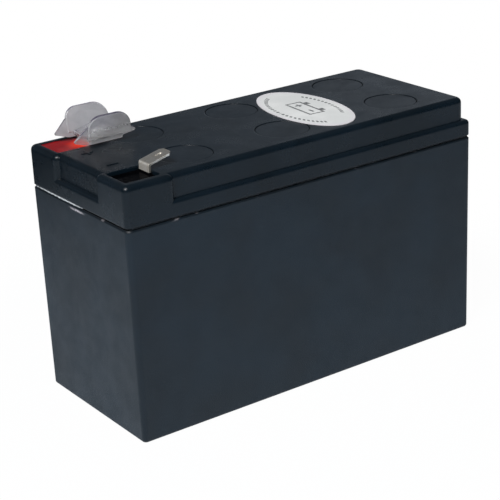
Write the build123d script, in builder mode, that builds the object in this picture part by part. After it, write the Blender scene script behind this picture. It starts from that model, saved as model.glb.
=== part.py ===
from build123d import *
import math
import os

# Sealed lead-acid battery, 12 V 7 Ah, six cells in two rows of three.
# Millimetres, +Z up. The origin is the middle of the foot. X runs along the length, with the
# terminals at the -X end, the negative one at -Y and the positive one at +Y.

# Case
case_l = 151.0
case_w = 65.0
case_h = 93.2
corner_r = 2.2
draft = 0.5
lid_h = 15.3
foot_r = 1.2
wall_t = 2.6
floor_t = 2.8
rib_t = 1.6
cell_r = 1.2

# Seam between container and lid, filled by a bead of adhesive
bead_t = 0.4
bead_inset = 1.1
seam_bevel = 0.5

# Lid
ledge_drop = 8.7
ledge_inset_side = 1.6
ledge_inset_end = 1.95
ledge_inset_bay = 1.6
plateau_corner_r = 3.0
ledge_edge_r = 1.3
top_edge_r = 2.0
lid_roof_t = 2.4
lid_shelf_t = 2.2

# Terminal wells in the two corner blocks
well_rim_end = 2.7
well_rim_side = 3.6
well_rim_bay = 3.1
well_rim_mid = 2.5
well_l = 13.7
well_w = 13.2
well_r = 1.0
well_deep = 5.3
negative_resin_drop = 1.4
positive_resin_drop = 0.2
boss_t = 2.6
boss_wall = 2.0

# Faston blades
blade_w = 6.35
blade_t = 0.8
blade_rise = 14.0
blade_reach = 9.1
blade_bend_r = 0.7
blade_lift = 1.85
blade_tip_cut = 1.2
blade_shift = 2.5
leg_gap = 0.15
blade_foot = 5.4
dimple_l = 2.6
dimple_w = 1.2
dimple_deep = 0.3

# Terminal posts
post_r = 2.7
post_drop = 4.1
post_gap = 0.25

# Vents
vent_shift_x = (8.0, 0.2, 1.2)
vent_shift_y = 0.45
cover_r = 9.7
cover_t = 1.6
cover_gap = 0.15
cover_sink = 0.1
cover_edge = 0.2
chimney_r = 6.6
chimney_wall = 1.6
chimney_deep = 8.0
chimney_floor_t = 1.6
nozzle_r = 3.0
nozzle_bore_r = 1.5
nozzle_h = 6.2
cap_wall = 1.3
cap_gap = 0.1
cap_foot_gap = 0.8

# Raised polarity marks
mark_l = 4.4
mark_w = 0.9
mark_h = 0.25
mark_end = 10.1
mark_gap = 4.7

# Oval label
label_shift = 3.6
label_y = -1.0
label_rx = 13.4
label_margin = 4.8
label_turn = -4.0
label_t = 0.2

# Clear guard on the positive blade
guard_back = 2.9
guard_lift = 2.65
guard_gap = 13.6
guard_l = 17.8
guard_h = 8.9
guard_wall = 1.3
guard_lean = 14.0
guard_slant = 1.6
guard_near_r = 4.6
guard_far_r = 6.2
guard_edge_r = 0.35
skirt_t = 0.7
skirt_drop = 1.65
skirt_cut = 3.6
skirt_tip_r = 0.5
foot_reach = 5.6
foot_rise = 0.3
foot_h = 5.2
ear_reach = 2.6
ear_rise = 0.5
ear_drop = 0.6
ear_h = 2.6
shelf_t = 0.6
shelf_near = 2.1
shelf_l = 12.8
sleeve_near = 0.9
sleeve_wall = 0.8
sleeve_gap = 0.12

# Plates, separators, straps and links
positives = 4
neg_ratio = 0.7
mat_ratio = 0.37
stack_gap = 0.4
plate_end_gap = 2.0
mat_side = 0.9
mat_over = 1.5
plate_lift = 1.5
head_h = 9.7
lug_l = 5.0
lug_in = 1.5
lug_h = 3.6
strap_t = 3.4
link_w = 7.0

# Worked out from the sizes above
half_l = case_l / 2
half_w = case_w / 2
seam_z = case_h - lid_h
lid_z = seam_z + bead_t
ledge_z = case_h - ledge_drop
roof_z = case_h - lid_roof_t
shelf_z = ledge_z - lid_shelf_t
cell_l = (case_l - 2 * wall_t - 2 * rib_t) / 3
cell_w = (case_w - 2 * wall_t - rib_t) / 2
cell_xs = [column * (cell_l + rib_t) for column in (-1, 0, 1)]
row_y = (cell_w + rib_t) / 2
plateau_l = case_l - ledge_inset_bay - ledge_inset_end
plateau_w = case_w - 2 * ledge_inset_side
plateau_x = (ledge_inset_bay - ledge_inset_end) / 2
block_l = well_rim_end + well_l + well_rim_bay
block_w = well_rim_side + well_w + well_rim_mid
block_x = -half_l + block_l / 2
block_y = half_w - block_w / 2
well_x = -half_l + well_rim_end + well_l / 2
well_y = half_w - well_rim_side - well_w / 2
well_floor_z = case_h - well_deep
boss_z = well_floor_z - boss_t
leg_x = well_x + well_l / 2 - leg_gap - blade_t / 2
blade_y = well_y - blade_shift
blade_bend_z = case_h + blade_lift
post_x = leg_x + blade_t / 2 - blade_foot / 2
post_z = case_h - post_drop
vent_y = row_y + vent_shift_y
vent_x = [x + shift for x, shift in zip(cell_xs, vent_shift_x)]
seat_z = case_h - cover_sink - cover_t
chimney_z = seat_z - chimney_deep
mark_x = -half_l + mark_end
mark_y = half_w - block_w - mark_gap
label_x = (vent_x[1] + vent_x[2]) / 2 - label_shift
label_ry = plateau_w / 2 - label_margin
guard_x = leg_x - guard_back
guard_z = case_h + guard_lift
plate_l = cell_l - 2 * plate_end_gap
plate_top = seam_z - head_h
strap_z = plate_top + lug_h
lug_x = plate_l / 2 - lug_in - lug_l / 2
negatives = positives + 1
stack_parts = positives + negatives * neg_ratio + 2 * positives * mat_ratio
pos_t = (cell_w - 2 * stack_gap) / stack_parts
neg_t = pos_t * neg_ratio
mat_t = pos_t * mat_ratio
plate_pitch = pos_t + neg_t + 2 * mat_t
wells = [(well_x, -well_y), (well_x, well_y)]
posts = [(post_x, -blade_y), (post_x, blade_y)]
vents = [(x, y) for y in (-vent_y, vent_y) for x in vent_x]

os.makedirs("parts", exist_ok=True)


def save(part, label):
    part.label = label
    export_step(part, f"parts/{label}.step")


# The current runs along the front row, crosses at the far end and comes back along the rear
# row, so the positive lugs stand at the +X end in front and at the -X end behind.
def positive_side(y):
    return 1 if y < 0 else -1


# Each link starts at a cell's positive strap and ends at the next cell's negative strap.
front = [(x, -row_y) for x in cell_xs]
rear = [(x, row_y) for x in reversed(cell_xs)]
series = front + rear


def strap_point(cell, sign):
    return cell[0] + sign * positive_side(cell[1]) * lug_x, cell[1]


links = [
    (strap_point(cell, 1), strap_point(following, -1))
    for cell, following in zip(series, series[1:])
]


# A straight bar of a link, lying on the lugs between two straps.
def bar_size(start, end):
    run_x = abs(end[0] - start[0])
    run_y = abs(end[1] - start[1])
    return max(run_x, link_w), max(run_y, link_w)


def middle(start, end):
    return (start[0] + end[0]) / 2, (start[1] + end[1]) / 2


# Container with its cell walls
with BuildPart() as container:
    with BuildSketch(Plane.XY.offset(seam_z)):
        RectangleRounded(case_l, case_w, corner_r)
    extrude(amount=-seam_z, taper=math.degrees(math.atan(draft / seam_z)))
    fillet(container.faces().sort_by(Axis.Z)[0].edges(), foot_r)
    chamfer(container.faces().sort_by(Axis.Z)[-1].edges(), seam_bevel)
    with BuildSketch(Plane.XY.offset(floor_t)):
        with GridLocations(cell_l + rib_t, cell_w + rib_t, 3, 2):
            RectangleRounded(cell_l, cell_w, cell_r)
    extrude(amount=seam_z - floor_t, mode=Mode.SUBTRACT)
    for start, end in links:
        size = bar_size(start, end)
        with BuildSketch(Plane.XY.offset(strap_z)):
            with Locations(middle(start, end)):
                Rectangle(*size)
        extrude(amount=strap_t, mode=Mode.SUBTRACT)
save(container.part, "container")

# Adhesive bead on the rim and on the cell walls
with BuildPart() as seam_bead:
    with BuildSketch(Plane.XY.offset(seam_z)):
        RectangleRounded(
            case_l - 2 * bead_inset, case_w - 2 * bead_inset, corner_r - bead_inset
        )
        with GridLocations(cell_l + rib_t, cell_w + rib_t, 3, 2):
            RectangleRounded(cell_l, cell_w, cell_r, mode=Mode.SUBTRACT)
    extrude(amount=bead_t)
save(seam_bead.part, "seam_bead")

# The raised top between the blocks, inset from the flange
with BuildPart() as plateau:
    with BuildSketch(Plane.XY.offset(shelf_z)):
        with Locations((plateau_x, 0)):
            RectangleRounded(plateau_l, plateau_w, plateau_corner_r)
    extrude(amount=case_h - shelf_z)
    fillet(plateau.faces().sort_by(Axis.Z)[-1].edges(), top_edge_r)

# Corner blocks, as wide and long as the flange
with BuildPart() as blocks:
    with BuildSketch(Plane.XY.offset(shelf_z)):
        for side in (-1, 1):
            with Locations((block_x, side * block_y)):
                RectangleRounded(block_l, block_w, corner_r)
    extrude(amount=case_h - shelf_z)
    fillet(blocks.faces().filter_by(Axis.Z).group_by(Axis.Z)[-1].edges(), top_edge_r)

# Lid
with BuildPart() as lid:
    with BuildSketch(Plane.XY.offset(lid_z)):
        RectangleRounded(case_l, case_w, corner_r)
    extrude(amount=ledge_z - lid_z)
    fillet(lid.faces().sort_by(Axis.Z)[-1].edges(), ledge_edge_r)
    chamfer(lid.faces().sort_by(Axis.Z)[0].edges(), seam_bevel)
    add(plateau.part)
    add(blocks.part)

    # Hollow above each cell, with ribs that meet the cell walls
    with BuildSketch(Plane.XY.offset(lid_z)):
        with GridLocations(cell_l + rib_t, cell_w + rib_t, 3, 2):
            RectangleRounded(cell_l, cell_w, cell_r)
    extrude(amount=shelf_z - lid_z, mode=Mode.SUBTRACT)
    with BuildSketch(Plane.XY.offset(shelf_z)):
        with Locations((plateau_x, 0)):
            RectangleRounded(plateau_l - 2 * wall_t, plateau_w - 2 * wall_t, cell_r)
        Rectangle(case_l, rib_t, mode=Mode.SUBTRACT)
        with GridLocations(cell_l + rib_t, 1, 2, 1):
            Rectangle(rib_t, case_w, mode=Mode.SUBTRACT)
    extrude(amount=roof_z - shelf_z, mode=Mode.SUBTRACT)

    # Bosses under the terminal wells and chimneys round the vents
    with BuildSketch(Plane.XY.offset(boss_z)):
        with Locations(wells):
            Rectangle(well_l + 2 * boss_wall, well_w + 2 * boss_wall)
    extrude(amount=roof_z - boss_z)
    with BuildSketch(Plane.XY.offset(chimney_z - chimney_floor_t)):
        with Locations(vents):
            Circle(chimney_r + chimney_wall)
    extrude(amount=roof_z - chimney_z + chimney_floor_t)

    # Terminal wells and their post holes
    with BuildSketch(Plane.XY.offset(well_floor_z)):
        with Locations(wells):
            RectangleRounded(well_l, well_w, well_r)
    extrude(amount=case_h - well_floor_z, mode=Mode.SUBTRACT)
    with BuildSketch(Plane.XY.offset(boss_z)):
        with Locations(posts):
            Circle(post_r + post_gap)
    extrude(amount=boss_t, mode=Mode.SUBTRACT)

    # Cover seats, vent wells and nozzles
    with BuildSketch(Plane.XY.offset(seat_z)):
        with Locations(vents):
            Circle(cover_r + cover_gap)
    extrude(amount=case_h - seat_z, mode=Mode.SUBTRACT)
    with BuildSketch(Plane.XY.offset(chimney_z)):
        with Locations(vents):
            Circle(chimney_r)
    extrude(amount=chimney_deep, mode=Mode.SUBTRACT)
    with BuildSketch(Plane.XY.offset(chimney_z)):
        with Locations(vents):
            Circle(nozzle_r)
    extrude(amount=nozzle_h)
    with BuildSketch(Plane.XY.offset(chimney_z - chimney_floor_t)):
        with Locations(vents):
            Circle(nozzle_bore_r)
    extrude(amount=chimney_floor_t + nozzle_h, mode=Mode.SUBTRACT)

    # Raised polarity marks beside the wells
    with BuildSketch(Plane.XY.offset(case_h)):
        with Locations((mark_x, -mark_y), (mark_x, mark_y)):
            Rectangle(mark_l, mark_w)
        with Locations((mark_x, mark_y)):
            Rectangle(mark_w, mark_l)
    extrude(amount=mark_h)
save(lid.part, "lid")


# Vent covers and, under each, the rubber cap on its nozzle
def vent_cover(place):
    with BuildPart() as cover:
        with BuildSketch(Plane.XY.offset(seat_z)):
            with Locations(place):
                Circle(cover_r)
        extrude(amount=cover_t)
        chamfer(cover.faces().sort_by(Axis.Z)[-1].edges(), cover_edge)
    return cover.part


def valve_cap(place):
    foot_z = chimney_z + cap_foot_gap
    with BuildPart() as cap:
        with BuildSketch(Plane.XY.offset(foot_z)):
            with Locations(place):
                Circle(nozzle_r + cap_gap + cap_wall)
        extrude(amount=seat_z - foot_z)
        with BuildSketch(Plane.XY.offset(foot_z)):
            with Locations(place):
                Circle(nozzle_r + cap_gap)
        extrude(amount=chimney_z + nozzle_h - foot_z, mode=Mode.SUBTRACT)
    return cap.part


for number, place in enumerate(vents, start=1):
    save(vent_cover(place), f"vent_cover_{number}")
    save(valve_cap(place), f"valve_cap_{number}")


# Blade terminal: a foot on the post, a leg up through the resin and an upward-sloping blade
rise = math.radians(blade_rise)
tip = (leg_x + blade_reach, blade_bend_z + blade_reach * math.tan(rise))


def blade_plane(y):
    along = (math.cos(rise), 0, math.sin(rise))
    up = (-math.sin(rise), 0, math.cos(rise))
    return Plane(origin=(leg_x, y, blade_bend_z), x_dir=along, z_dir=up)


def tab(y):
    foot_z = post_z + blade_t / 2
    foot_x = leg_x + blade_t / 2 - blade_foot
    with BuildPart() as blade:
        with BuildSketch(Plane.XZ.offset(-y)):
            with BuildLine() as path:
                FilletPolyline(
                    (foot_x, foot_z),
                    (leg_x, foot_z),
                    (leg_x, blade_bend_z),
                    tip,
                    radius=blade_bend_r,
                )
            trace(path.line, line_width=blade_t)
        extrude(amount=blade_w / 2, both=True)
        tip_edges = blade.faces().sort_by(Axis.X)[-1].edges().filter_by(Axis.Y, reverse=True)
        chamfer(tip_edges, blade_tip_cut)
        with BuildSketch(blade_plane(y).offset(blade_t / 2)):
            with Locations((blade_reach / math.cos(rise) / 2 + dimple_w, 0)):
                SlotOverall(dimple_l, dimple_w)
        extrude(amount=-dimple_deep, mode=Mode.SUBTRACT)
    return blade.part


negative_tab = tab(-blade_y)
positive_tab = tab(blade_y)
save(negative_tab, "negative_tab")
save(positive_tab, "positive_tab")


# End straps with their posts
def strap_size(count, thickness):
    return lug_l, (count - 1) * plate_pitch + thickness


def end_strap(cell, sign, count, thickness, post):
    start = strap_point(cell, sign)
    arm_l = post[0] + post_r - start[0]
    with BuildPart() as strap:
        with BuildSketch(Plane.XY.offset(strap_z)):
            with Locations(start):
                Rectangle(*strap_size(count, thickness))
            with Locations((start[0] + arm_l / 2, post[1])):
                Rectangle(arm_l, 2 * post_r)
        extrude(amount=strap_t)
        with BuildSketch(Plane.XY.offset(strap_z)):
            with Locations(post):
                Circle(post_r)
        extrude(amount=post_z - strap_z)
    return strap.part


negative_strap = end_strap(series[0], -1, negatives, neg_t, posts[0])
positive_strap = end_strap(series[-1], 1, positives, pos_t, posts[1])
save(negative_strap, "negative_end_strap")
save(positive_strap, "positive_end_strap")


# Resin round the foot of each blade
def well_filling(well, drop, blade, strap):
    with BuildPart() as filling:
        with BuildSketch(Plane.XY.offset(well_floor_z)):
            with Locations(well):
                RectangleRounded(well_l, well_w, well_r)
        extrude(amount=case_h - drop - well_floor_z)
        add(blade, mode=Mode.SUBTRACT)
        add(strap, mode=Mode.SUBTRACT)
    return filling.part


negative_resin = well_filling(wells[0], negative_resin_drop, negative_tab, negative_strap)
positive_resin = well_filling(wells[1], positive_resin_drop, positive_tab, positive_strap)
save(negative_resin, "negative_well_resin")
save(positive_resin, "positive_well_resin")


# Cast links from each cell to the next, through the cell walls
def cell_link(start, end):
    with BuildPart() as link:
        with BuildSketch(Plane.XY.offset(strap_z)):
            with Locations(start):
                Rectangle(*strap_size(positives, pos_t))
            with Locations(end):
                Rectangle(*strap_size(negatives, neg_t))
            with Locations(middle(start, end)):
                Rectangle(*bar_size(start, end))
        extrude(amount=strap_t)
    return link.part


for number, (start, end) in enumerate(links, start=1):
    save(cell_link(start, end), f"cell_link_{number}")


# Plates with their lugs, and the glass mats between them
def plate_set(cell, sign, count, thickness):
    foot_z = floor_t + plate_lift
    with BuildPart() as plates:
        with BuildSketch(Plane.XY.offset(foot_z)):
            with Locations(cell):
                with GridLocations(plate_l, plate_pitch, 1, count):
                    Rectangle(plate_l, thickness)
        extrude(amount=plate_top - foot_z)
        with BuildSketch(Plane.XY.offset(plate_top)):
            with Locations(strap_point(cell, sign)):
                with GridLocations(lug_l, plate_pitch, 1, count):
                    Rectangle(lug_l, thickness)
        extrude(amount=lug_h)
    return plates.part


def mat_set(cell):
    with BuildPart() as mats:
        with BuildSketch(Plane.XY.offset(floor_t)):
            for side in (-1, 1):
                with Locations((cell[0], cell[1] + side * (pos_t + mat_t) / 2)):
                    with GridLocations(plate_l, plate_pitch, 1, positives):
                        Rectangle(plate_l + 2 * mat_side, mat_t)
        extrude(amount=plate_top + mat_over - floor_t)
    return mats.part


for number, cell in enumerate(series, start=1):
    save(plate_set(cell, 1, positives, pos_t), f"positive_plates_{number}")
    save(plate_set(cell, -1, negatives, neg_t), f"negative_plates_{number}")
    save(mat_set(cell), f"separators_{number}")

# Clear guard: two wings that lean apart, each on a thin skirt with a pointed foot and ear,
# joined by low shelves, by a web over the blade and by the sleeve that grips it
lean = math.radians(guard_lean)
sleeve_inner = blade_t / 2 + sleeve_gap
sleeve_outer = sleeve_inner + sleeve_wall
slot_l = sleeve_near + blade_reach / math.cos(rise) + sleeve_gap
slot_w = blade_w + 2 * sleeve_gap
sleeve_l = slot_l + sleeve_wall
sleeve_plane = blade_plane(blade_y)
notch_l = sleeve_near + blade_t / 2 + blade_bend_r + sleeve_gap
web_w = guard_gap + skirt_t


def wing_plane(side):
    place = (guard_x, blade_y + side * guard_gap / 2, guard_z)
    return Plane(origin=place, x_dir=(1, 0, 0), z_dir=(0, -math.cos(lean), side * math.sin(lean)))


with BuildPart() as terminal_guard:
    for side in (-1, 1):
        with BuildSketch(wing_plane(side)) as wing:
            with BuildLine():
                Polyline(
                    (0, 0),
                    (0, guard_h),
                    (guard_l - guard_slant, guard_h),
                    (guard_l, 0),
                    close=True,
                )
            make_face()
            fillet(wing.vertices().group_by(Axis.Y)[-1].sort_by(Axis.X)[0], guard_near_r)
            fillet(wing.vertices().group_by(Axis.Y)[-1].sort_by(Axis.X)[-1], guard_far_r)
        extrude(amount=guard_wall / 2, both=True)
    fillet(terminal_guard.faces().sort_by(SortBy.AREA)[-4:].edges(), guard_edge_r)
    for side in (-1, 1):
        with BuildSketch(wing_plane(side)) as skirt:
            with BuildLine():
                Polyline(
                    (0, foot_h),
                    (-foot_reach, foot_rise),
                    (0, -skirt_drop),
                    (guard_l - skirt_cut, -skirt_drop),
                    (guard_l - skirt_cut, -ear_drop),
                    (guard_l + ear_reach, ear_rise),
                    (guard_l - guard_slant, ear_h),
                    close=True,
                )
            make_face()
            tips = skirt.vertices().sort_by(Axis.X)
            fillet([tips[0], tips[-1]], skirt_tip_r)
        extrude(amount=skirt_t / 2, both=True)
    with BuildSketch(Plane.XY.offset(guard_z)):
        with Locations((guard_x + shelf_near + shelf_l / 2, blade_y)):
            Rectangle(shelf_l, guard_gap)
            Rectangle(shelf_l, slot_w + 2 * sleeve_wall - skirt_t, mode=Mode.SUBTRACT)
    extrude(amount=shelf_t)
    with BuildSketch(sleeve_plane.offset(sleeve_inner)):
        with Locations((sleeve_l / 2 - sleeve_near, 0)):
            Rectangle(sleeve_l, web_w)
    extrude(amount=sleeve_wall)
    with BuildSketch(sleeve_plane.offset(-sleeve_outer)):
        with Locations((sleeve_l / 2 - sleeve_near, 0)):
            Rectangle(sleeve_l, slot_w + 2 * sleeve_wall)
    extrude(amount=2 * sleeve_outer)
    with BuildSketch(sleeve_plane.offset(-sleeve_inner)):
        with Locations((slot_l / 2 - sleeve_near, 0)):
            Rectangle(slot_l, slot_w)
    extrude(amount=2 * sleeve_inner, mode=Mode.SUBTRACT)
    with BuildSketch(sleeve_plane.offset(-sleeve_inner)):
        with Locations((notch_l / 2 - sleeve_near, 0)):
            Rectangle(notch_l, slot_w)
    extrude(amount=-2 * sleeve_wall, mode=Mode.SUBTRACT)
save(terminal_guard.part, "terminal_guard")

# Oval label on the lid
with BuildPart() as top_label:
    with BuildSketch(Plane.XY.offset(case_h)):
        with Locations((label_x, label_y)):
            Ellipse(label_rx, label_ry, rotation=label_turn)
    extrude(amount=label_t)
save(top_label.part, "top_label")
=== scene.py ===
import math

import bmesh
import bpy
from mathutils import Euler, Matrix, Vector


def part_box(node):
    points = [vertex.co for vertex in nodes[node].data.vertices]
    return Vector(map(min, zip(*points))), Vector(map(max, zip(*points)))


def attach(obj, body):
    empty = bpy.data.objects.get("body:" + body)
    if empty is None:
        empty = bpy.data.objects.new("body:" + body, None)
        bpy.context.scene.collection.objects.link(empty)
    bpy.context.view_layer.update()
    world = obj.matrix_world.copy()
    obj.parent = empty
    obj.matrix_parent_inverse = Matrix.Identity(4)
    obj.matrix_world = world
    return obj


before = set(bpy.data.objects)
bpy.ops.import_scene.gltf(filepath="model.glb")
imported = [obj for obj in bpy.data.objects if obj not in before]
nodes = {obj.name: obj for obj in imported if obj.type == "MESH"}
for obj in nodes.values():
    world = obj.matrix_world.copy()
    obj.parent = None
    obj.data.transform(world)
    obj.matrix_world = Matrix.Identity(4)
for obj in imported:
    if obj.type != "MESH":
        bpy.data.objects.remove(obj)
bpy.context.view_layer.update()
print("frame loaded:", len(nodes), "nodes")


# '#rrggbb' as linear RGBA
def srgb(text):
    parts = [int(text[i:i + 2], 16) / 255 for i in (1, 3, 5)]
    return (*[c / 12.92 if c <= 0.04045 else ((c + 0.055) / 1.055) ** 2.4 for c in parts], 1.0)


# One node, with its settings and then its sockets: a socket takes a number or a link
def put(tree, kind, values=None, **settings):
    made = tree.nodes.new(kind)
    for name, value in settings.items():
        setattr(made, name, value)
    for name, value in (values or {}).items():
        if isinstance(value, bpy.types.NodeSocket):
            tree.links.new(value, made.inputs[name])
        else:
            made.inputs[name].default_value = value
    return made


def calc(tree, operation, first, second=0.0, clamp=False):
    made = put(tree, "ShaderNodeMath", {0: first, 1: second}, operation=operation, use_clamp=clamp)
    return made.outputs[0]


def ramp(tree, value, low, high, toLow=0.0, toHigh=1.0):
    values = {"Value": value, "From Min": low, "From Max": high, "To Min": toLow, "To Max": toHigh}
    return put(tree, "ShaderNodeMapRange", values, interpolation_type="SMOOTHSTEP").outputs[0]


# 1 where the value is at the middle, falling to 0 at the given reach on both sides
def around(tree, value, middle, reach, top=1.0):
    away = calc(tree, "ABSOLUTE", calc(tree, "SUBTRACT", value, middle))
    return ramp(tree, away, 0.0, reach, top, 0.0)


# 1 where the value is within half of the middle, and 0 elsewhere
def inside(tree, value, middle, half):
    made = put(tree, "ShaderNodeMath", {0: value, 1: middle, 2: half}, operation="COMPARE")
    return made.outputs[0]


def noise(tree, where, scale, detail=2.0, rough=0.5, distortion=0.0):
    values = {
        "Vector": where, "Scale": scale, "Detail": detail, "Roughness": rough, "Distortion": distortion,
    }
    return put(tree, "ShaderNodeTexNoise", values).outputs["Fac"]


def cells(tree, where, scale, feature="F1"):
    values = {"Vector": where, "Scale": scale}
    return put(tree, "ShaderNodeTexVoronoi", values, feature=feature).outputs["Distance"]


def vectorCalc(tree, operation, first, second=None):
    values = {0: first} if second is None else {0: first, 1: second}
    return put(tree, "ShaderNodeVectorMath", values, operation=operation).outputs


def splitAxes(tree, vector):
    return put(tree, "ShaderNodeSeparateXYZ", {0: vector}).outputs


def blendColour(tree, share, first, second):
    made = put(tree, "ShaderNodeMix", {0: share}, data_type="RGBA")
    for socket, value in ((made.inputs[6], first), (made.inputs[7], second)):
        if isinstance(value, bpy.types.NodeSocket):
            tree.links.new(value, socket)
        else:
            socket.default_value = value
    return made.outputs[2]


def newGroup(name, inputs, outputs):
    tree = bpy.data.node_groups.new(name, "ShaderNodeTree")
    for label, kind, value in inputs:
        socket = tree.interface.new_socket(name=label, in_out="INPUT", socket_type="NodeSocket" + kind)
        if value is not None:
            socket.default_value = value
    for label, kind in outputs:
        tree.interface.new_socket(name=label, in_out="OUTPUT", socket_type="NodeSocket" + kind)
    return tree, tree.nodes.new("NodeGroupInput").outputs, tree.nodes.new("NodeGroupOutput").inputs


def useGroup(tree, group, values):
    made = tree.nodes.new("ShaderNodeGroup")
    made.node_tree = group
    for name, value in values.items():
        if isinstance(value, bpy.types.NodeSocket):
            tree.links.new(value, made.inputs[name])
        else:
            made.inputs[name].default_value = value
    return made.outputs


# Spark-eroded mould texture: fine grain with pits, and a slow change of tone over the part
def makeMouldGrain():
    tree, given, out = newGroup(
        "mouldGrain",
        [("Vector", "Vector", None), ("Grains per metre", "Float", 2600.0), ("Pits", "Float", 0.4)],
        [("Height", "Float"), ("Tone", "Float")],
    )
    grain = noise(tree, given["Vector"], given["Grains per metre"], 3.0, 0.62)
    pits = cells(tree, given["Vector"], given["Grains per metre"])
    hollow = calc(tree, "MULTIPLY", pits, given["Pits"])
    tree.links.new(calc(tree, "ADD", grain, hollow), out["Height"])
    wide = noise(tree, given["Vector"], 34.0, 3.0, 0.55, 0.4)
    tree.links.new(wide, out["Tone"])
    return tree


# Rounded look on sharp edges, and a broken line of rubbed plastic along them
def makeEdgeWear():
    tree, given, out = newGroup(
        "edgeWear",
        [("Vector", "Vector", None), ("Radius", "Float", 0.0004), ("Breakup", "Float", 500.0)],
        [("Edge", "Float"), ("Turn", "Float"), ("Normal", "Vector")],
    )
    rounded = put(tree, "ShaderNodeBevel", {"Radius": given["Radius"]}, samples=6)
    flat = tree.nodes.new("ShaderNodeNewGeometry").outputs["Normal"]
    facing = vectorCalc(tree, "DOT_PRODUCT", rounded.outputs[0], flat)["Value"]
    turned = ramp(tree, calc(tree, "SUBTRACT", 1.0, facing), 0.02, 0.22)
    broken = ramp(tree, noise(tree, given["Vector"], given["Breakup"], 4.0, 0.7), 0.46, 0.68)
    tree.links.new(calc(tree, "MULTIPLY", turned, broken), out["Edge"])
    tree.links.new(turned, out["Turn"])
    tree.links.new(rounded.outputs[0], out["Normal"])
    return tree


# Fine handling marks: long thin cell borders on stretched coordinates, only in patches
def makeScuffs():
    tree, given, out = newGroup(
        "scuffs",
        [("Vector", "Vector", None), ("Stretch", "Vector", (1.0, 1.0, 1.0)), ("Scale", "Float", 130.0)],
        [("Mark", "Float")],
    )
    where = vectorCalc(tree, "MULTIPLY", given["Vector"], given["Stretch"])[0]
    bent = noise(tree, given["Vector"], 60.0, 2.0)
    shifted = vectorCalc(tree, "ADD", where, bent)[0]
    border = cells(tree, shifted, given["Scale"], "DISTANCE_TO_EDGE")
    line = ramp(tree, border, 0.0, 0.02, 1.0, 0.0)
    patch = ramp(tree, noise(tree, given["Vector"], 75.0, 3.0), 0.55, 0.7)
    tree.links.new(calc(tree, "MULTIPLY", line, patch), out["Mark"])
    return tree


# Dust that settles on what faces up, as a veil with specks
def makeDust():
    tree, given, out = newGroup(
        "dust",
        [("Vector", "Vector", None), ("Veil", "Float", 0.1), ("Specks per metre", "Float", 900.0)],
        [("Dust", "Float")],
    )
    normal = tree.nodes.new("ShaderNodeNewGeometry").outputs["Normal"]
    lying = ramp(tree, splitAxes(tree, normal)["Z"], 0.3, 1.0)
    veil = calc(tree, "MULTIPLY", noise(tree, given["Vector"], 55.0, 5.0, 0.65), given["Veil"])
    grains = cells(tree, given["Vector"], given["Specks per metre"])
    speck = ramp(tree, grains, 0.04, 0.09, 1.0, 0.0)
    where = ramp(tree, noise(tree, given["Vector"], 260.0, 3.0), 0.64, 0.78)
    specks = calc(tree, "MULTIPLY", speck, where)
    total = calc(tree, "ADD", veil, specks, True)
    tree.links.new(calc(tree, "MULTIPLY", total, lying), out["Dust"])
    return tree


mouldGrain = makeMouldGrain()
edgeWear = makeEdgeWear()
scuffs = makeScuffs()
dust = makeDust()


def newMaterial(name):
    made = bpy.data.materials.new(name)
    made.use_nodes = True
    tree = made.node_tree
    tree.nodes.clear()
    where = tree.nodes.new("ShaderNodeTexCoord").outputs["Object"]
    return made, tree, where


def finishMaterial(tree, values):
    shader = put(tree, "ShaderNodeBsdfPrincipled", values)
    tree.links.new(shader.outputs[0], tree.nodes.new("ShaderNodeOutputMaterial").inputs["Surface"])


def bump(tree, height, normal, distance):
    values = {"Height": height, "Distance": distance, "Strength": 1.0}
    if normal is not None:
        values["Normal"] = normal
    return put(tree, "ShaderNodeBump", values).outputs[0]


# Marks beside the seam: painted shade along it, pale spots on it that are painted glints of glue, and
# one pale run of glue below it at the terminal end. Drops are metres below the middle of the seam.
seamLook = {
    "dark": 0.6, "darkFrom": 0.0003, "darkTo": 0.0014,
    "runDrop": 0.0015, "runFade": 0.0006, "runMiddle": 0.001, "runHalf": 0.0064, "endDepth": 0.002,
    "spots": 0.2, "spotsFrom": 0.63, "spotsTo": 0.7, "spotsDrop": 0.0004, "spotsFade": 0.0006,
}


def makeSeamMarks(look):
    tree, given, out = newGroup(
        "seamMarks", [("Vector", "Vector", None)], [("Dark", "Float"), ("Pale", "Float")],
    )
    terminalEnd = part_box("container")[0].x
    seamLow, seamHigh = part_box("seam_bead")
    axes = splitAxes(tree, given["Vector"])
    down = calc(tree, "SUBTRACT", (seamLow.z + seamHigh.z) / 2, axes["Z"])
    broken = ramp(tree, noise(tree, given["Vector"], 700.0, 3.0), 0.3, 0.6, 0.55, 1.0)
    # Painted shade along the seam
    near = ramp(tree, calc(tree, "ABSOLUTE", down), look["darkFrom"], look["darkTo"], look["dark"], 0.0)
    tree.links.new(calc(tree, "MULTIPLY", near, broken), out["Dark"])
    level = around(tree, down, look["runDrop"], look["runFade"])
    span = around(tree, axes["Y"], look["runMiddle"], look["runHalf"], 1.6)
    atEnd = calc(tree, "LESS_THAN", axes["X"], terminalEnd + look["endDepth"])
    patchy = ramp(tree, noise(tree, given["Vector"], 900.0, 3.0), 0.36, 0.56)
    placed = calc(tree, "MULTIPLY", level, span, True)
    run = calc(tree, "MULTIPLY", placed, calc(tree, "MULTIPLY", atEnd, patchy))
    # Pale spots near the seam: painted glints of glue
    cloud = noise(tree, given["Vector"], 210.0, 2.0)
    spots = ramp(tree, cloud, look["spotsFrom"], look["spotsTo"], 0.0, look["spots"])
    close = around(tree, down, look["spotsDrop"], look["spotsFade"])
    pale = calc(tree, "MAXIMUM", run, calc(tree, "MULTIPLY", spots, close))
    tree.links.new(pale, out["Pale"])
    return tree


seamMarks = makeSeamMarks(seamLook)
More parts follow.
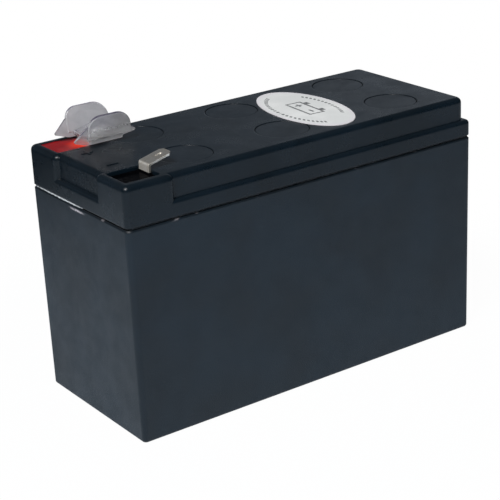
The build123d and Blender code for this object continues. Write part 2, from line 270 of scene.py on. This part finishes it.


# Wear, soil and painted shade of the black plastic, the same for every moulded piece
plasticWearAndShade = {
    "breakup": 420.0, "specks": 700.0,
    "dust": "#8d8f92", "seamShade": "#020406", "hollow": "#010203", "glueAndPaintedGlint": "#c3bdc2",
}


# Colour of the plastic: slow tone, rubbed edges and handling marks, dust, painted shade along the
# seam and in narrow gaps, and the pale glue on top with painted glints of glue
def plasticColour(tree, look, tone, masks):
    plain = blendColour(tree, tone, srgb(look["deep"]), srgb(look["pale"]))
    worn = calc(tree, "MULTIPLY", masks["edge"], look["wear"])
    rubbed = blendColour(tree, worn, plain, srgb(look["rubbed"]))
    handled = calc(tree, "MULTIPLY", masks["mark"], look["scuffs"])
    marked = blendColour(tree, handled, rubbed, srgb(look["rubbed"]))
    dusty = blendColour(tree, masks["dust"], marked, srgb(plasticWearAndShade["dust"]))
    # Painted shade along the seam
    seamShaded = blendColour(tree, masks["seamShade"], dusty, srgb(plasticWearAndShade["seamShade"]))
    # Painted shade in narrow gaps
    hollow = blendColour(tree, masks["open"], srgb(plasticWearAndShade["hollow"]), seamShaded)
    return blendColour(tree, masks["glueAndPaintedGlint"], hollow, srgb(plasticWearAndShade["glueAndPaintedGlint"]))


# Black moulded plastic, in the same way for the container, the lid and the covers
def mouldedPlastic(name, look):
    made, tree, where = newMaterial(name)
    seam = useGroup(tree, seamMarks, {"Vector": where})
    grain = useGroup(tree, mouldGrain, {
        "Vector": where, "Grains per metre": look["grain"], "Pits": look["pits"],
    })
    edge = useGroup(tree, edgeWear, {
        "Vector": where, "Radius": look["edgeRadius"], "Breakup": plasticWearAndShade["breakup"],
    })
    mark = useGroup(tree, scuffs, {
        "Vector": where, "Stretch": look["stretch"], "Scale": look["scuffScale"],
    })["Mark"]
    settled = useGroup(tree, dust, {
        "Vector": where, "Veil": look["veil"], "Specks per metre": plasticWearAndShade["specks"],
    })["Dust"]
    # This ambient occlusion mask paints shade into narrow gaps, in colour, and makes them matt
    shade = put(tree, "ShaderNodeAmbientOcclusion", {"Distance": look["gapShadeReach"]}, samples=6)
    unshaded = ramp(tree, shade.outputs["AO"], 0.1, 0.62)
    colour = plasticColour(tree, look, ramp(tree, grain["Tone"], 0.3, 0.7), {
        "edge": edge["Edge"], "mark": mark, "dust": settled, "seamShade": seam["Dark"],
        "open": unshaded, "glueAndPaintedGlint": seam["Pale"],
    })
    cloud = noise(tree, where, 120.0, 4.0, 0.6)
    shine = ramp(tree, cloud, 0.3, 0.7, look["rough"] - 0.04, look["rough"] + 0.05)
    dulled = calc(tree, "ADD", shine, calc(tree, "MULTIPLY", mark, 0.03))
    dusty = calc(tree, "ADD", dulled, calc(tree, "MULTIPLY", settled, 0.3))
    matt = calc(tree, "MAXIMUM", seam["Dark"], calc(tree, "SUBTRACT", 1.0, unshaded))
    finishMaterial(tree, {
        "Base Color": colour,
        "Roughness": calc(tree, "MAXIMUM", dusty, matt, True),
        "Normal": bump(tree, grain["Height"], edge["Normal"], look["grainDepth"]),
        "IOR": 1.5,
        "Specular IOR Level": look["specular"],
    })
    return made


containerLook = {
    "deep": "#07141d", "pale": "#0b1b26", "rubbed": "#2f3a46", "rough": 0.44, "specular": 0.41,
    "gapShadeReach": 0.001, "grain": 2400.0, "pits": 0.5, "grainDepth": 0.00006,
    "edgeRadius": 0.0004, "wear": 0.2, "stretch": (0.25, 1.0, 1.0), "scuffScale": 140.0,
    "scuffs": 0.12, "veil": 0.015,
}
lidLook = {
    "deep": "#071118", "pale": "#0b1720", "rubbed": "#3a4550", "rough": 0.29, "specular": 0.29,
    "gapShadeReach": 0.0013, "grain": 3200.0, "pits": 0.25, "grainDepth": 0.00003,
    "edgeRadius": 0.0007, "wear": 0.08, "stretch": (1.0, 0.3, 1.0), "scuffScale": 150.0,
    "scuffs": 0.1, "veil": 0.02,
}
coverLook = {
    "deep": "#071118", "pale": "#0b1720", "rubbed": "#3a4550", "rough": 0.31, "specular": 0.29,
    "gapShadeReach": 0.0008, "grain": 2800.0, "pits": 0.3, "grainDepth": 0.00003,
    "edgeRadius": 0.0003, "wear": 0.05, "stretch": (0.4, 1.0, 1.0), "scuffScale": 170.0,
    "scuffs": 0.12, "veil": 0.02,
}
containerBlack = mouldedPlastic("containerBlack", containerLook)
lidBlack = mouldedPlastic("lidBlack", lidLook)
coverBlack = mouldedPlastic("coverBlack", coverLook)


# Colour of a resin near the place that light falls on
def litColour(tree, where, plain, look):
    gap = vectorCalc(tree, "DISTANCE", where, look["litPlace"])["Value"]
    share = ramp(tree, gap, look["litFrom"], look["litReach"], 1.0, 0.0)
    return blendColour(tree, share, plain, srgb(look["lit"]))


# Cast resin and adhesive: poured, glossy, with faint ripples
def pouredResin(name, look):
    made, tree, where = newMaterial(name)
    swirl = noise(tree, where, look["swirl"], 4.0, 0.6, 1.2)
    grain = noise(tree, where, 1500.0, 3.0, 0.6)
    plain = blendColour(tree, ramp(tree, swirl, 0.35, 0.68), srgb(look["deep"]), srgb(look["pale"]))
    if "lit" in look:
        plain = litColour(tree, where, plain, look)
    fallen = {"Vector": where, "Veil": look["veil"], "Specks per metre": 900.0}
    settled = useGroup(tree, dust, fallen)["Dust"]
    colour = blendColour(tree, settled, plain, srgb(look["dusty"]))
    height = calc(tree, "ADD", swirl, calc(tree, "MULTIPLY", grain, 0.12))
    finishMaterial(tree, {
        "Base Color": colour,
        "Roughness": ramp(tree, swirl, 0.3, 0.7, look["rough"] - 0.03, look["rough"] + 0.06),
        "Normal": bump(tree, height, None, look["ripple"]),
        "IOR": 1.52,
        "Specular IOR Level": look["specular"],
        "Coat Weight": look["coat"],
        "Coat Roughness": 0.05,
    })
    return made


blackResin = pouredResin("blackResin", {
    "deep": "#020203", "pale": "#050507", "dusty": "#3a3c40", "veil": 0.0,
    "rough": 0.1, "specular": 0.008, "coat": 0.0, "swirl": 210.0, "ripple": 0.00012,
})
# The red resin looks brighter near the blade, where the clear guard throws light on it
legLow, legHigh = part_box("positive_tab")
redResin = pouredResin("redResin", {
    "deep": "#85040a", "pale": "#9c070c", "dusty": "#b8635c", "veil": 0.0,
    "rough": 0.16, "specular": 0.12, "coat": 0.0, "swirl": 240.0, "ripple": 0.00012,
    "lit": "#f03514", "litFrom": 0.002, "litReach": 0.0075,
    "litPlace": (legLow.x + 0.004, (legLow.y + legHigh.y) / 2, legLow.z + 0.006),
})
# The bead in the groove, dull all round. Its grey is painted light, chosen so that the shaded groove
# reads dark grey and not black
seamAdhesive = pouredResin("seamAdhesive", {
    "deep": "#565c63", "pale": "#686e75", "dusty": "#3a3c40", "veil": 0.0,
    "rough": 0.3, "specular": 0.4, "coat": 0.0, "swirl": 420.0, "ripple": 0.0002,
})
# What was squeezed out of it and dried glossy
clearGlue = pouredResin("clearGlue", {
    "deep": "#b4b8bc", "pale": "#eceef0", "dusty": "#d5d6d8", "veil": 0.05,
    "rough": 0.14, "specular": 0.5, "coat": 0.3, "swirl": 900.0, "ripple": 0.0001,
})


# Tinned brass blades: rolled along the blade, dulled by a thin oxide, brass at the worn edges. Their
# rounded edges and the faces toward the terminal end are less metallic, a painted highlight that makes
# them lighter
def tinnedBrass(look):
    made, tree, where = newMaterial("tinnedBrass")
    along = vectorCalc(tree, "MULTIPLY", where, look["rolling"])[0]
    rolled = noise(tree, along, 5200.0, 3.0, 0.6)
    stain = noise(tree, where, 330.0, 5.0, 0.62, 0.6)
    edge = useGroup(tree, edgeWear, {"Vector": where, "Radius": look["edgeRadius"], "Breakup": 900.0})
    tinned = blendColour(tree, ramp(tree, stain, 0.36, 0.66), srgb(look["tin"]), srgb(look["oxide"]))
    worn = calc(tree, "MULTIPLY", edge["Edge"], look["wear"])
    # Painted highlight: less metal on the faces toward the terminal end and on the rounded edges
    endOn = ramp(tree, splitAxes(tree, edge["Normal"])["X"], -0.95, -0.3, 1.0, 0.0)
    paintedLightShare = calc(tree, "MAXIMUM", edge["Turn"], calc(tree, "MULTIPLY", endOn, look["endOnPaintedLight"]))
    rough = ramp(tree, stain, 0.3, 0.7, look["smooth"], look["rough"])
    finishMaterial(tree, {
        "Base Color": blendColour(tree, worn, tinned, srgb(look["brass"])),
        "Metallic": ramp(tree, paintedLightShare, 0.0, 1.0, look["metal"], look["paintedLightMetal"]),
        "Roughness": calc(tree, "ADD", rough, calc(tree, "MULTIPLY", rolled, 0.1)),
        "Normal": bump(tree, rolled, edge["Normal"], look["rollDepth"]),
    })
    return made


bladeMetal = tinnedBrass({
    "tin": "#f1ede6", "oxide": "#d6d0c4", "brass": "#dcc899", "metal": 0.89, "paintedLightMetal": 0.3,
    "endOnPaintedLight": 0.55, "wear": 0.45, "smooth": 0.24, "rough": 0.4, "edgeRadius": 0.00018,
    "rolling": (0.06, 1.0, 0.06), "rollDepth": 0.00002,
})


# How far the guard's tint goes to its dark outline, which is painted shade: where a face turns from
# view, and on its top edges
def guardOutline(tree, axes, turned, low, look):
    facing = put(tree, "ShaderNodeLayerWeight", {"Blend": 0.5}).outputs["Facing"]
    rounding = ramp(tree, facing, look["outlineFrom"], look["outlineTo"], 0.0, look["outline"])
    above = ramp(tree, axes["Z"], low.z + look["shelfTop"][0], low.z + look["shelfTop"][1])
    upper = calc(tree, "MULTIPLY", ramp(tree, turned["Z"], 0.4, 0.8), above)
    return calc(tree, "MAXIMUM", rounding, calc(tree, "MULTIPLY", upper, look["outline"]))


# Where white is painted into the guard as painted light, and made rougher: low in the near wing past its
# foot, and on the wings' faces toward the terminal end as a painted highlight
def guardPaintedLight(tree, axes, turned, low, high, look):
    pastFoot = ramp(tree, axes["X"], low.x + look["footEnd"][0], low.x + look["footEnd"][1])
    middle = (low.y + high.y) / 2
    nearWing = ramp(tree, axes["Y"], middle - look["wingGap"], middle, 1.0, 0.0)
    lower = ramp(tree, axes["Z"], low.z + look["nearLightTop"][0], low.z + look["nearLightTop"][1], 1.0, 0.0)
    nearWingLight = calc(tree, "MULTIPLY", calc(tree, "MULTIPLY", pastFoot, nearWing), lower)
    endOn = ramp(tree, turned["X"], -0.75, -0.2, 1.0, 0.0)
    (start, full), (least, most) = look["wingStart"], look["wingEndLight"]
    share = ramp(tree, axes["X"], low.x + start, low.x + full, least, most)
    return calc(tree, "MAXIMUM", nearWingLight, calc(tree, "MULTIPLY", endOn, share))


# Clear plastic of the guard: faintly grey, with flow lines and handling haze, a painted dark outline and
# painted light in white patches
def clearPlastic(look):
    made, tree, where = newMaterial("guardClear")
    flow = noise(tree, where, 160.0, 3.0, 0.5, 1.5)
    haze = noise(tree, where, 900.0, 4.0, 0.6)
    mark = useGroup(tree, scuffs, {"Vector": where, "Stretch": (0.5, 1.0, 1.0), "Scale": 260.0})["Mark"]
    edge = useGroup(tree, edgeWear, {"Vector": where, "Radius": look["edgeRadius"], "Breakup": 400.0})
    turned = splitAxes(tree, edge["Normal"])
    axes = splitAxes(tree, where)
    low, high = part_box("terminal_guard")
    outline = guardOutline(tree, axes, turned, low, look)
    cloud = guardPaintedLight(tree, axes, turned, low, high, look)
    body = blendColour(tree, ramp(tree, flow, 0.3, 0.7), srgb(look["deep"]), srgb(look["pale"]))
    # Painted light: white blended in by the mask above
    paintedLightBody = blendColour(tree, cloud, body, srgb(look["cloud"]))
    rough = ramp(tree, haze, 0.3, 0.7, look["rough"] - 0.03, look["rough"] + 0.05)
    handled = calc(tree, "ADD", rough, calc(tree, "MULTIPLY", mark, 0.2))
    finishMaterial(tree, {
        "Base Color": blendColour(tree, outline, paintedLightBody, srgb(look["rim"])),
        "Roughness": calc(tree, "ADD", handled, calc(tree, "MULTIPLY", cloud, look["paintedLightRough"]), True),
        "Normal": bump(tree, flow, None, look["flowDepth"]),
        "IOR": 1.46,
        "Transmission Weight": look["clear"],
    })
    return made


# Pairs say where a change starts and ends, in metres from the guard's terminal end or its underside.
# The last pair says how much white is painted as a highlight on the wings' faces toward the terminal end
# there
guardClear = clearPlastic({
    # cloud is the white of the painted light, rim the tint of the painted dark outline
    "deep": "#d8d8de", "pale": "#e4e4e8", "rim": "#5c5474", "cloud": "#fdfdfd",
    "clear": 0.67, "rough": 0.1, "paintedLightRough": 0.3, "edgeRadius": 0.00045, "flowDepth": 0.0002,
    "outline": 0.9, "outlineFrom": 0.5, "outlineTo": 0.88, "shelfTop": (0.004, 0.0055),
    "footEnd": (0.004, 0.007), "nearLightTop": (0.002, 0.0095), "wingGap": 0.002,
    "wingStart": (0.0045, 0.0056), "wingEndLight": (0.12, 0.5),
})


# 1 inside an upright bar of the print
def printedBar(tree, across, along, middle, half):
    first = inside(tree, across, middle[0], half[0])
    return calc(tree, "MULTIPLY", first, inside(tree, along, middle[1], half[1]))


# Outline of a battery with its two posts, a plus and a minus
def batterySign(tree, across, along, look):
    (wide, long), line = look["signHalf"], look["signLine"]
    outer = printedBar(tree, across, along, (0, 0), (wide, long))
    inner = printedBar(tree, across, along, (0, 0), (wide - line, long - line))
    sign = calc(tree, "SUBTRACT", outer, inner)
    post, stroke = (line, line * 1.6), wide * 0.45
    bars = [
        ((wide + line, long * 0.6), post), ((wide + line, -long * 0.6), post),
        ((0, long * 0.5), (line / 2, stroke)), ((0, long * 0.5), (stroke, line / 2)),
        ((0, -long * 0.5), (line / 2, stroke)),
    ]
    for middle, half in bars:
        sign = calc(tree, "MAXIMUM", sign, printedBar(tree, across, along, middle, half))
    return sign


# Fine ticks along a part of an oval ring
def tickArc(tree, radius, angle, arc):
    ticks = inside(tree, calc(tree, "FRACT", calc(tree, "MULTIPLY", angle, arc["ticks"])), 0.5, 0.28)
    away = calc(tree, "ABSOLUTE", calc(tree, "SUBTRACT", calc(tree, "ABSOLUTE", angle), arc["middle"]))
    near = inside(tree, away, 0.0, arc["half"])
    ring = inside(tree, radius, arc["radius"], arc["tickHalf"])
    return calc(tree, "MULTIPLY", ticks, calc(tree, "MULTIPLY", near, ring))


# Printed film of the oval label: two arcs of fine ticks and a battery sign, with no words
def labelFilm(look):
    made, tree, where = newMaterial("labelFilm")
    low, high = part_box("top_label")
    centre = (low + high) / 2
    placed = put(tree, "ShaderNodeMapping", {"Vector": where, "Location": tuple(-centre)})
    turned = put(tree, "ShaderNodeMapping", {
        "Vector": placed.outputs[0], "Rotation": (0.0, 0.0, math.radians(look["turn"])),
    })
    axes = splitAxes(tree, turned.outputs[0])
    across = calc(tree, "DIVIDE", axes["X"], look["halfAcross"])
    along = calc(tree, "DIVIDE", axes["Y"], look["halfAlong"])
    oval = put(tree, "ShaderNodeCombineXYZ", {"X": across, "Y": along}).outputs[0]
    radius = vectorCalc(tree, "LENGTH", oval)["Value"]
    angle = calc(tree, "ARCTAN2", along, across)
    ink = batterySign(tree, axes["X"], axes["Y"], look)
    for arc in look["arcs"]:
        ink = calc(tree, "MAXIMUM", ink, tickArc(tree, radius, angle, arc))
    paper = noise(tree, where, 1400.0, 4.0, 0.6)
    cloud = noise(tree, where, 90.0, 3.0, 0.5)
    film = blendColour(tree, ramp(tree, cloud, 0.3, 0.7), srgb(look["film"]), srgb(look["filmDark"]))
    edged = blendColour(tree, ramp(tree, radius, 0.86, 1.0, 0.0, 0.5), film, srgb(look["rim"]))
    worn = ramp(tree, paper, 0.3, 0.75, look["inkShare"], look["inkShare"] * 0.6)
    inked = blendColour(tree, calc(tree, "MULTIPLY", ink, worn), edged, srgb(look["ink"]))
    mark = useGroup(tree, scuffs, {"Vector": where, "Stretch": (1.0, 0.4, 1.0), "Scale": 210.0})["Mark"]
    colour = blendColour(tree, calc(tree, "MULTIPLY", mark, 0.2), inked, srgb(look["scratch"]))
    finishMaterial(tree, {
        "Base Color": colour,
        "Roughness": ramp(tree, paper, 0.3, 0.7, 0.36, 0.5),
        "Normal": bump(tree, calc(tree, "ADD", paper, cloud), None, 0.00002),
        "IOR": 1.5,
        "Specular IOR Level": 0.4,
    })
    return made


topLabelFilm = labelFilm({
    "turn": 4.0, "halfAcross": 0.0134, "halfAlong": 0.0261,
    "signHalf": (0.0034, 0.0085), "signLine": 0.00085,
    "arcs": (
        {"middle": 0.0, "half": 0.8, "radius": 0.76, "ticks": 9.0, "tickHalf": 0.04},
        {"middle": math.pi, "half": 1.25, "radius": 0.8, "ticks": 9.0, "tickHalf": 0.04},
    ),
    "film": "#f1f2f1", "filmDark": "#e4e6e5", "rim": "#e6dfe8", "scratch": "#9a9da2",
    "ink": "#26272e", "inkShare": 0.95,
})


# The pieces inside: cast lead, pasted plates, glass mat and the valves' rubber
def innerMaterial(name, look):
    made, tree, where = newMaterial(name)
    grain = noise(tree, where, look["grain"], 4.0, 0.65)
    cloud = noise(tree, where, look["cloud"], 4.0, 0.6, 0.5)
    plain = blendColour(tree, ramp(tree, cloud, 0.34, 0.68), srgb(look["deep"]), srgb(look["pale"]))
    spotted = blendColour(tree, ramp(tree, grain, 0.6, 0.78, 0.0, 0.6), plain, srgb(look["spot"]))
    finishMaterial(tree, {
        "Base Color": spotted,
        "Metallic": look["metal"],
        "Roughness": ramp(tree, cloud, 0.3, 0.7, look["rough"] - 0.08, look["rough"] + 0.08),
        "Normal": bump(tree, grain, None, look["depth"]),
    })
    return made


castLead = innerMaterial("castLead", {
    "deep": "#585b5f", "pale": "#84878b", "spot": "#3f4246", "metal": 1.0, "rough": 0.5,
    "grain": 2100.0, "cloud": 260.0, "depth": 0.00006,
})
positivePaste = innerMaterial("positivePaste", {
    "deep": "#2e1b16", "pale": "#44281f", "spot": "#1c110e", "metal": 0.0, "rough": 0.85,
    "grain": 3000.0, "cloud": 190.0, "depth": 0.0001,
})
negativePaste = innerMaterial("negativePaste", {
    "deep": "#4b4f53", "pale": "#696d71", "spot": "#34373a", "metal": 0.0, "rough": 0.75,
    "grain": 3000.0, "cloud": 190.0, "depth": 0.0001,
})
glassMat = innerMaterial("glassMat", {
    "deep": "#cfd0cc", "pale": "#e6e6e1", "spot": "#b7b8b4", "metal": 0.0, "rough": 0.95,
    "grain": 4200.0, "cloud": 320.0, "depth": 0.00015,
})
valveRubber = innerMaterial("valveRubber", {
    "deep": "#141414", "pale": "#202020", "spot": "#2b2b2b", "metal": 0.0, "rough": 0.7,
    "grain": 2600.0, "cloud": 240.0, "depth": 0.00004,
})
print("materials made:", len(bpy.data.materials))


# Every CAD node keeps its mesh and takes its finish by the start of its name
nodeFinish = {
    "container": containerBlack,
    "lid": lidBlack,
    "vent_cover": coverBlack,
    "valve_cap": valveRubber,
    "seam_bead": seamAdhesive,
    "negative_tab": bladeMetal,
    "positive_tab": bladeMetal,
    "negative_well_resin": blackResin,
    "positive_well_resin": redResin,
    "negative_end_strap": castLead,
    "positive_end_strap": castLead,
    "cell_link": castLead,
    "positive_plates": positivePaste,
    "negative_plates": negativePaste,
    "separators": glassMat,
    "terminal_guard": guardClear,
    "top_label": topLabelFilm,
}


def dress(piece, material):
    piece.data.materials.clear()
    piece.data.materials.append(material)


for name, node in nodes.items():
    start = max((key for key in nodeFinish if name.startswith(key)), key=len)
    dress(node, nodeFinish[start])
print("nodes dressed")


def newPiece(name, form, material):
    mesh = bpy.data.meshes.new(name)
    bmesh.ops.recalc_face_normals(form, faces=form.faces)
    form.to_mesh(mesh)
    form.free()
    for face in mesh.polygons:
        face.use_smooth = True
    piece = bpy.data.objects.new(name, mesh)
    bpy.context.scene.collection.objects.link(piece)
    dress(piece, material)
    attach(piece, "root")
    return piece


# Glue that was squeezed out of the seam at the terminal end and dried as an uneven thread
streak = {
    "from": 0.98, "to": -0.07, "steps": 46, "sides": 10, "inFromEnd": 0.00062, "inFromCorner": 0.001,
    "thick": 0.0003, "grow": 0.6, "uneven": 0.3, "leastTaper": 0.3,
}


def makeGlueStreak(look):
    low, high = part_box("container")
    seamLow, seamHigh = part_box("seam_bead")
    level = (seamLow.z + seamHigh.z) / 2
    startY, endY = high.y * look["from"] - look["inFromCorner"], high.y * look["to"]
    step = Vector((0, (endY - startY) / look["steps"], 0))
    place = Vector((low.x + look["inFromEnd"], startY, level))
    form = bmesh.new()
    turn = Euler((math.pi / 2, 0, 0)).to_matrix().to_4x4()
    ring = bmesh.ops.create_circle(
        form, segments=look["sides"], radius=look["thick"] / 3, cap_ends=True,
    )["verts"]
    bmesh.ops.transform(form, matrix=turn, verts=ring)
    bmesh.ops.translate(form, vec=place, verts=ring)
    edges = list(form.edges)
    for number in range(look["steps"]):
        drawn = bmesh.ops.extrude_edge_only(form, edges=edges)["geom"]
        ring = [item for item in drawn if isinstance(item, bmesh.types.BMVert)]
        edges = [item for item in drawn if isinstance(item, bmesh.types.BMEdge)]
        centre = sum((vert.co for vert in ring), Vector()) / len(ring)
        share = (number + 1) / look["steps"]
        wave = math.sin(number * 1.7) * 0.6 + math.sin(number * 0.53 + 1) * 0.4
        taper = math.sin(math.pi * min(1.0, 0.06 + share * 0.94)) ** 0.3
        grown = look["thick"] * (1 + look["grow"] * share)
        radius = grown * max(taper, look["leastTaper"]) * (1 + look["uneven"] * wave)
        now = (ring[0].co - centre).length
        for vert in ring:
            vert.co = centre + (vert.co - centre) * (radius / now) + step
    bmesh.ops.contextual_create(form, geom=edges)
    return newPiece("glueStreak", form, clearGlue)


# The resin climbs a little on the leg of each blade
meniscus = {
    "footReach": 0.005, "bladeHalf": 0.0004, "spread": 0.0007, "topSpread": 0.00005,
    "climb": 0.0006, "sunk": 0.00015, "edge": 0.0002, "edgeSteps": 3,
}


def makeMeniscus(look, side, material):
    tabLow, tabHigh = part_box(side + "_tab")
    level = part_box(side + "_well_resin")[1].z
    legX = tabLow.x + look["footReach"]
    halfX = look["bladeHalf"]
    halfY = (tabHigh.y - tabLow.y) / 2
    form = bmesh.new()
    verts = bmesh.ops.create_cube(form, size=2.0)["verts"]
    middle = (tabHigh.y + tabLow.y) / 2
    for vert in verts:
        top = vert.co.z > 0
        grow = look["topSpread"] if top else look["spread"]
        vert.co = Vector((
            legX + vert.co.x * (halfX + grow), middle + vert.co.y * (halfY + grow),
            level + (look["climb"] if top else -look["sunk"]),
        ))
    bmesh.ops.bevel(
        form, geom=list(form.edges), offset=look["edge"], segments=look["edgeSteps"], profile=0.5,
        material=-1, affect="EDGES",
    )
    return newPiece(side + "Meniscus", form, material)


makeGlueStreak(streak)
makeMeniscus(meniscus, "negative", blackResin)
makeMeniscus(meniscus, "positive", redResin)
print("pieces made")


# A white sheet under the part, two lamps, a dark room with a faint glow behind, and the camera
studio = {
    "sheetLevel": -0.00005, "sheetLow": (-0.45, -0.6), "sheetHigh": (0.6, 0.208),
    "sheet": "#dae5f0", "sheetFleck": "#e2edf8", "whiteNear": 0.98, "fadeFrom": 0.11, "fadeTo": 0.2,
    "room": 0.038, "roomTone": "#e6f1ff", "through": 0.16,
    "glow": 0.13, "glowBehind": (0.1, 0.7), "glowTop": (0.2, 0.55), "glowFoot": (-0.04, 0.02),
    "glowSide": (0.44, 0.7), "glowRight": 3.2,
    "keyFrom": (-0.58, -0.34, 0.74), "keyAway": 1.3, "keySize": 0.5, "keyPower": 18.0,
    "fillFrom": (0.35, -0.85, 0.4), "fillAway": 1.4, "fillSize": 0.8, "fillPower": 4.5,
}


# The camera sees plain white behind the part, and the clear guard lets a part of that through
def makeWorld(look):
    world = bpy.data.worlds.new("studioSky")
    bpy.context.scene.world = world
    world.use_nodes = True
    tree = world.node_tree
    tree.nodes.clear()
    where = tree.nodes.new("ShaderNodeTexCoord").outputs["Generated"]
    axes = splitAxes(tree, where)
    behind = ramp(tree, axes["Y"], *look["glowBehind"])
    low = ramp(tree, axes["Z"], *look["glowTop"], 1.0, 0.0)
    above = ramp(tree, axes["Z"], *look["glowFoot"])
    right = ramp(tree, axes["X"], *look["glowSide"], 1.0, look["glowRight"])
    band = calc(tree, "MULTIPLY", behind, low)
    glow = calc(tree, "MULTIPLY", band, calc(tree, "MULTIPLY", above, right))
    level = calc(tree, "ADD", look["room"], calc(tree, "MULTIPLY", glow, look["glow"]))
    path = tree.nodes.new("ShaderNodeLightPath").outputs
    through = calc(tree, "MULTIPLY", path["Is Transmission Ray"], look["through"])
    straight = calc(tree, "MAXIMUM", path["Is Camera Ray"], through)
    strength = calc(tree, "MAXIMUM", level, straight)
    plain = calc(tree, "MAXIMUM", path["Is Camera Ray"], path["Is Transmission Ray"])
    tone = blendColour(tree, plain, srgb(look["roomTone"]), (1, 1, 1, 1))
    sky = put(tree, "ShaderNodeBackground", {"Color": tone, "Strength": strength})
    tree.links.new(sky.outputs[0], tree.nodes.new("ShaderNodeOutputWorld").inputs["Surface"])


# The sheet turns plain white away from the part, so that its edges don't show, and isn't there
# when it is looked at from below
def makeFloor(look):
    low, high = Vector(look["sheetLow"]), Vector(look["sheetHigh"])
    size, middle = high - low, (high + low) / 2
    form = bmesh.new()
    bmesh.ops.create_grid(form, x_segments=1, y_segments=1, size=0.5)
    bmesh.ops.scale(form, vec=(size.x, size.y, 1.0), verts=form.verts)
    bmesh.ops.translate(form, vec=(middle.x, middle.y, look["sheetLevel"]), verts=form.verts)
    mesh = bpy.data.meshes.new("floor")
    form.to_mesh(mesh)
    form.free()
    floor = bpy.data.objects.new("floor", mesh)
    bpy.context.scene.collection.objects.link(floor)
    made, tree, where = newMaterial("floorWhite")
    fleck = noise(tree, where, 60.0, 3.0)
    tone = blendColour(tree, fleck, srgb(look["sheet"]), srgb(look["sheetFleck"]))
    card = put(tree, "ShaderNodeBsdfDiffuse", {"Color": tone})
    plain = put(tree, "ShaderNodeEmission", {"Color": (1, 1, 1, 1), "Strength": 1.0})
    away = vectorCalc(tree, "LENGTH", where)["Value"]
    white = ramp(tree, away, look["fadeFrom"], look["fadeTo"], look["whiteNear"], 1.0)
    path = tree.nodes.new("ShaderNodeLightPath").outputs
    seen = calc(tree, "MAXIMUM", path["Is Camera Ray"], path["Is Transmission Ray"])
    share = calc(tree, "MULTIPLY", seen, white)
    mixed = put(tree, "ShaderNodeMixShader", {0: share, 1: card.outputs[0], 2: plain.outputs[0]})
    fromBelow = tree.nodes.new("ShaderNodeNewGeometry").outputs["Backfacing"]
    clear = tree.nodes.new("ShaderNodeBsdfTransparent")
    shown = put(tree, "ShaderNodeMixShader", {0: fromBelow, 1: mixed.outputs[0], 2: clear.outputs[0]})
    tree.links.new(shown.outputs[0], tree.nodes.new("ShaderNodeOutputMaterial").inputs["Surface"])
    dress(floor, made)


# A round lamp that looks at the part. Only the key lamp shows in gloss, so edges stay quiet
def makeLamp(name, direction, away, size, power):
    lamp = bpy.data.lights.new(name, "AREA")
    lamp.shape = "DISK"
    lamp.size = size
    lamp.energy = power
    holder = bpy.data.objects.new(name, lamp)
    bpy.context.scene.collection.objects.link(holder)
    towards = Vector(direction).normalized()
    holder.location = towards * away + Vector((0, 0, 0.05))
    holder.rotation_euler = towards.to_track_quat("Z", "Y").to_euler()
    holder.visible_glossy = name == "key"


makeWorld(studio)
makeFloor(studio)
for lampName in ("key", "fill"):
    makeLamp(lampName, *[studio[lampName + part] for part in ("From", "Away", "Size", "Power")])

# The photograph's own angle, taken from the edges of the case
view = {"place": (-0.31056, -0.44331, 0.25261), "turn": (68.79, 2.633, -35.572), "lens": 111.78}
camera = bpy.data.cameras.new("camera")
camera.lens = view["lens"]
camera.sensor_width = 36.0
camera.clip_start = 0.01
cameraHolder = bpy.data.objects.new("camera", camera)
bpy.context.scene.collection.objects.link(cameraHolder)
cameraHolder.location = view["place"]
cameraHolder.rotation_euler = Euler([math.radians(a) for a in view["turn"]])
bpy.context.scene.camera = cameraHolder
bpy.context.scene.view_settings.view_transform = "Standard"
print("stage set")
